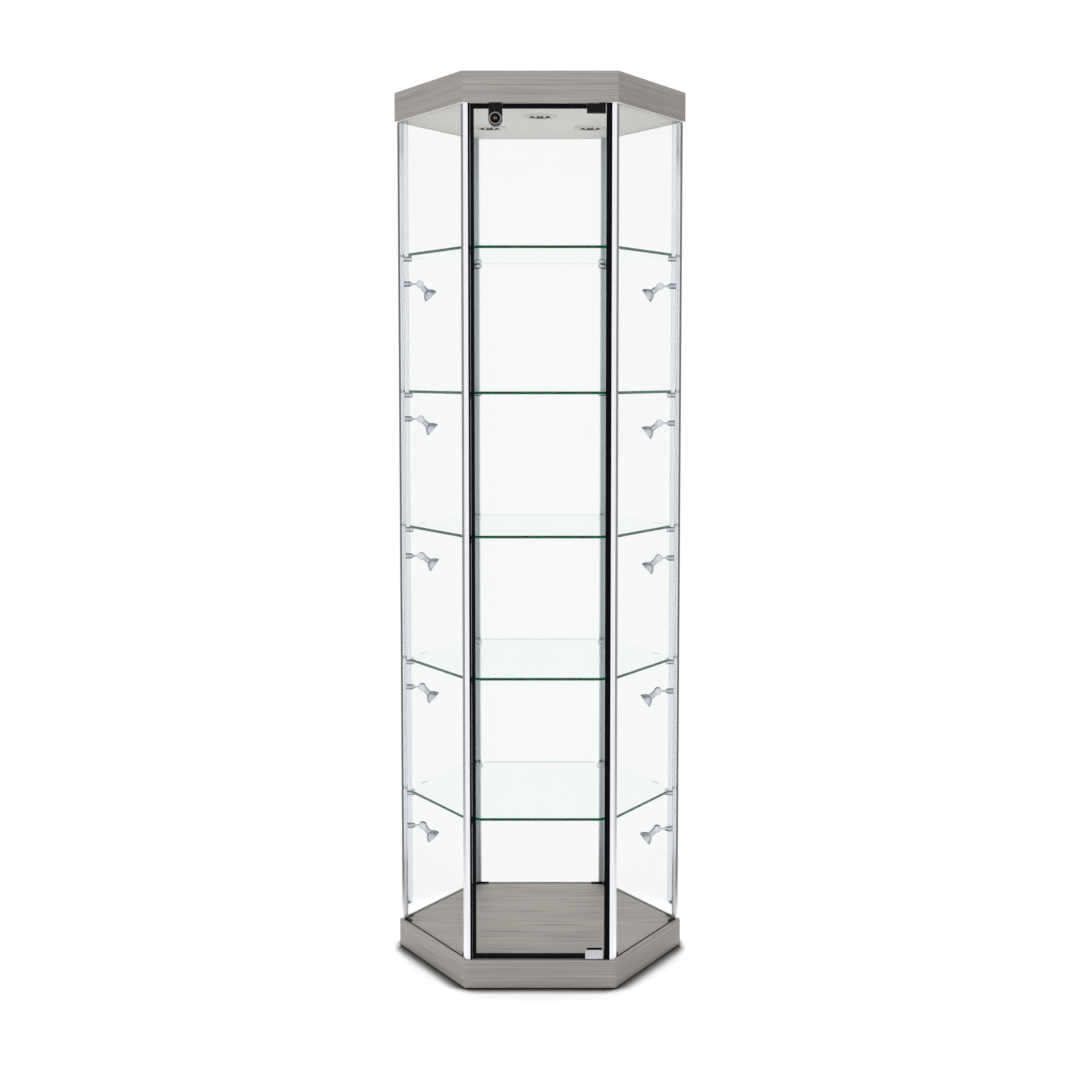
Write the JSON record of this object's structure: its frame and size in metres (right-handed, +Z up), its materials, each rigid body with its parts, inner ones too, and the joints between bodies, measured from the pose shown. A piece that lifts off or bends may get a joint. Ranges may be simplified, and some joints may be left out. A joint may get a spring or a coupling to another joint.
{
  "type": "display case",
  "caption": "Six-sided glass tower display case with wood-grain plinth and canopy, glass shelves, locking pivot door, adjustable side spotlights and ceiling downlights.",
  "frame": {"origin": "on the floor under the centre of the hexagon", "axes": "+Z up, -Y towards the door, +X to the right of someone facing the door"},
  "size_m": [0.66, 0.5787, 1.98],
  "materials": {
    "ash_laminate": "grey ash wood-grain laminate",
    "white_melamine": "pale melamine face",
    "hardboard": "plain hardboard",
    "softwood": "planed softwood",
    "nylon": "black nylon",
    "black_plastic": "black extruded plastic",
    "white_enamel": "white enamel",
    "lamp_lens": "frosted lamp lens",
    "driver_case": "white moulded case",
    "grommet_rubber": "black rubber",
    "anodised_aluminium": "silver anodised",
    "clear_glass": "clear float glass",
    "shelf_glass": "clear float glass with green edges",
    "clear_plastic": "clear extruded plastic",
    "satin_metal": "satin",
    "seal_rubber": "black rubber",
    "black_enamel": "black enamel",
    "satin_steel": "satin nickel",
    "key_brass": "blackened brass",
    "zinc_steel": "zinc plated"
  },
  "bodies": {
    "case": {"plinth_deck": "ash_laminate", "plinth_fascias": "ash_laminate", "floor_glides": "nylon", "post_shoes": "black_plastic", "canopy_ceiling": "white_melamine", "canopy_fascias": "ash_laminate", "canopy_top_board": "hardboard", "downlight_bezels": "white_enamel", "downlight_lenses": "lamp_lens", "lamp_driver": "driver_case", "cable_grommet": "grommet_rubber", "corner_blocks": "softwood", "post_front_right": "anodised_aluminium", "post_right": "anodised_aluminium", "post_back_right": "anodised_aluminium", "post_back_left": "anodised_aluminium", "post_left": "anodised_aluminium", "post_front_left": "anodised_aluminium", "glass_front_right": "clear_glass", "glass_back_right": "clear_glass", "glass_back": "clear_glass", "glass_back_left": "clear_glass", "glass_front_left": "clear_glass", "shelf_1": "shelf_glass", "shelf_2": "shelf_glass", "shelf_3": "shelf_glass", "shelf_4": "shelf_glass", "shelf_5": "shelf_glass", "shelf_pegs": "anodised_aluminium", "light_rails": "clear_plastic", "spot_bases": "satin_metal", "hinge_bushes": "nylon", "door_seals": "seal_rubber"},
    "door": {"door_glass": "clear_glass", "door_trim": "black_plastic", "hinge_clamp_bottom": "satin_steel", "hinge_clamp_top": "black_enamel", "lock_case": "black_enamel"},
    "key_barrel": {"lock_barrel": "key_brass"},
    "bolt": {"lock_bolt": "zinc_steel"},
    "spot_left_1_arm": {"spot_arm_left_1": "satin_metal"},
    "spot_left_1_head": {"spot_head_left_1": "satin_metal"},
    "spot_left_2_arm": {"spot_arm_left_2": "satin_metal"},
    "spot_left_2_head": {"spot_head_left_2": "satin_metal"},
    "spot_left_3_arm": {"spot_arm_left_3": "satin_metal"},
    "spot_left_3_head": {"spot_head_left_3": "satin_metal"},
    "spot_left_4_arm": {"spot_arm_left_4": "satin_metal"},
    "spot_left_4_head": {"spot_head_left_4": "satin_metal"},
    "spot_left_5_arm": {"spot_arm_left_5": "satin_metal"},
    "spot_left_5_head": {"spot_head_left_5": "satin_metal"},
    "spot_right_1_arm": {"spot_arm_right_1": "satin_metal"},
    "spot_right_1_head": {"spot_head_right_1": "satin_metal"},
    "spot_right_2_arm": {"spot_arm_right_2": "satin_metal"},
    "spot_right_2_head": {"spot_head_right_2": "satin_metal"},
    "spot_right_3_arm": {"spot_arm_right_3": "satin_metal"},
    "spot_right_3_head": {"spot_head_right_3": "satin_metal"},
    "spot_right_4_arm": {"spot_arm_right_4": "satin_metal"},
    "spot_right_4_head": {"spot_head_right_4": "satin_metal"},
    "spot_right_5_arm": {"spot_arm_right_5": "satin_metal"},
    "spot_right_5_head": {"spot_head_right_5": "satin_metal"}
  },
  "joints": [
    {"name": "door_hinge", "type": "hinge", "parent": "case", "child": "door", "pos_m": [0.13291, -0.27644, 0.0675], "axis": [0, 0, 1], "range_deg": [0, 105]},
    {"name": "key_turn", "type": "hinge", "parent": "door", "child": "key_barrel", "pos_m": [-0.09411, -0.27644, 1.8815], "axis": [0, -1, 0], "range_deg": [0, 90]},
    {"name": "bolt_slide", "type": "slide", "parent": "door", "child": "bolt", "axis": [0, 0, 1], "range_m": [0, 0.0099]},
    {"name": "spot_left_1_swivel", "type": "hinge", "parent": "case", "child": "spot_left_1_arm", "pos_m": [-0.31083, 0, 1.55], "axis": [1, 0, 0], "range_deg": [-120, 120]},
    {"name": "spot_left_1_tilt", "type": "hinge", "parent": "spot_left_1_arm", "child": "spot_left_1_head", "pos_m": [-0.27353, 0, 1.55], "axis": [0, 1, 0], "range_deg": [-46, 34]},
    {"name": "spot_left_2_swivel", "type": "hinge", "parent": "case", "child": "spot_left_2_arm", "pos_m": [-0.31083, 0, 1.242], "axis": [1, 0, 0], "range_deg": [-120, 120]},
    {"name": "spot_left_2_tilt", "type": "hinge", "parent": "spot_left_2_arm", "child": "spot_left_2_head", "pos_m": [-0.27353, 0, 1.242], "axis": [0, 1, 0], "range_deg": [-40, 40]},
    {"name": "spot_left_3_swivel", "type": "hinge", "parent": "case", "child": "spot_left_3_arm", "pos_m": [-0.31083, 0, 0.925], "axis": [1, 0, 0], "range_deg": [-120, 120]},
    {"name": "spot_left_3_tilt", "type": "hinge", "parent": "spot_left_3_arm", "child": "spot_left_3_head", "pos_m": [-0.27353, 0, 0.925], "axis": [0, 1, 0], "range_deg": [-33, 47]},
    {"name": "spot_left_4_swivel", "type": "hinge", "parent": "case", "child": "spot_left_4_arm", "pos_m": [-0.31083, 0, 0.618], "axis": [1, 0, 0], "range_deg": [-120, 120]},
    {"name": "spot_left_4_tilt", "type": "hinge", "parent": "spot_left_4_arm", "child": "spot_left_4_head", "pos_m": [-0.27353, 0, 0.618], "axis": [0, 1, 0], "range_deg": [-42, 38]},
    {"name": "spot_left_5_swivel", "type": "hinge", "parent": "case", "child": "spot_left_5_arm", "pos_m": [-0.31083, 0, 0.289], "axis": [1, 0, 0], "range_deg": [-120, 120]},
    {"name": "spot_left_5_tilt", "type": "hinge", "parent": "spot_left_5_arm", "child": "spot_left_5_head", "pos_m": [-0.27353, 0, 0.289], "axis": [0, 1, 0], "range_deg": [-46, 34]},
    {"name": "spot_right_1_swivel", "type": "hinge", "parent": "case", "child": "spot_right_1_arm", "pos_m": [0.31083, 0, 1.545], "axis": [-1, 0, 0], "range_deg": [-120, 120]},
    {"name": "spot_right_1_tilt", "type": "hinge", "parent": "spot_right_1_arm", "child": "spot_right_1_head", "pos_m": [0.27353, 0, 1.545], "axis": [0, -1, 0], "range_deg": [-33, 47]},
    {"name": "spot_right_2_swivel", "type": "hinge", "parent": "case", "child": "spot_right_2_arm", "pos_m": [0.31083, 0, 1.232], "axis": [-1, 0, 0], "range_deg": [-120, 120]},
    {"name": "spot_right_2_tilt", "type": "hinge", "parent": "spot_right_2_arm", "child": "spot_right_2_head", "pos_m": [0.27353, 0, 1.232], "axis": [0, -1, 0], "range_deg": [-35, 45]},
    {"name": "spot_right_3_swivel", "type": "hinge", "parent": "case", "child": "spot_right_3_arm", "pos_m": [0.31083, 0, 0.92], "axis": [-1, 0, 0], "range_deg": [-120, 120]},
    {"name": "spot_right_3_tilt", "type": "hinge", "parent": "spot_right_3_arm", "child": "spot_right_3_head", "pos_m": [0.27353, 0, 0.92], "axis": [0, -1, 0], "range_deg": [-41, 39]},
    {"name": "spot_right_4_swivel", "type": "hinge", "parent": "case", "child": "spot_right_4_arm", "pos_m": [0.31083, 0, 0.608], "axis": [-1, 0, 0], "range_deg": [-120, 120]},
    {"name": "spot_right_4_tilt", "type": "hinge", "parent": "spot_right_4_arm", "child": "spot_right_4_head", "pos_m": [0.27353, 0, 0.608], "axis": [0, -1, 0], "range_deg": [-36, 44]},
    {"name": "spot_right_5_swivel", "type": "hinge", "parent": "case", "child": "spot_right_5_arm", "pos_m": [0.31083, 0, 0.281], "axis": [-1, 0, 0], "range_deg": [-120, 120]},
    {"name": "spot_right_5_tilt", "type": "hinge", "parent": "spot_right_5_arm", "child": "spot_right_5_head", "pos_m": [0.27353, 0, 0.281], "axis": [0, -1, 0], "range_deg": [-38, 42]}
  ],
  "couplings": [
    {"joint": "bolt_slide", "follows": "key_turn", "m_per_rad": 0.0063018}
  ]
}
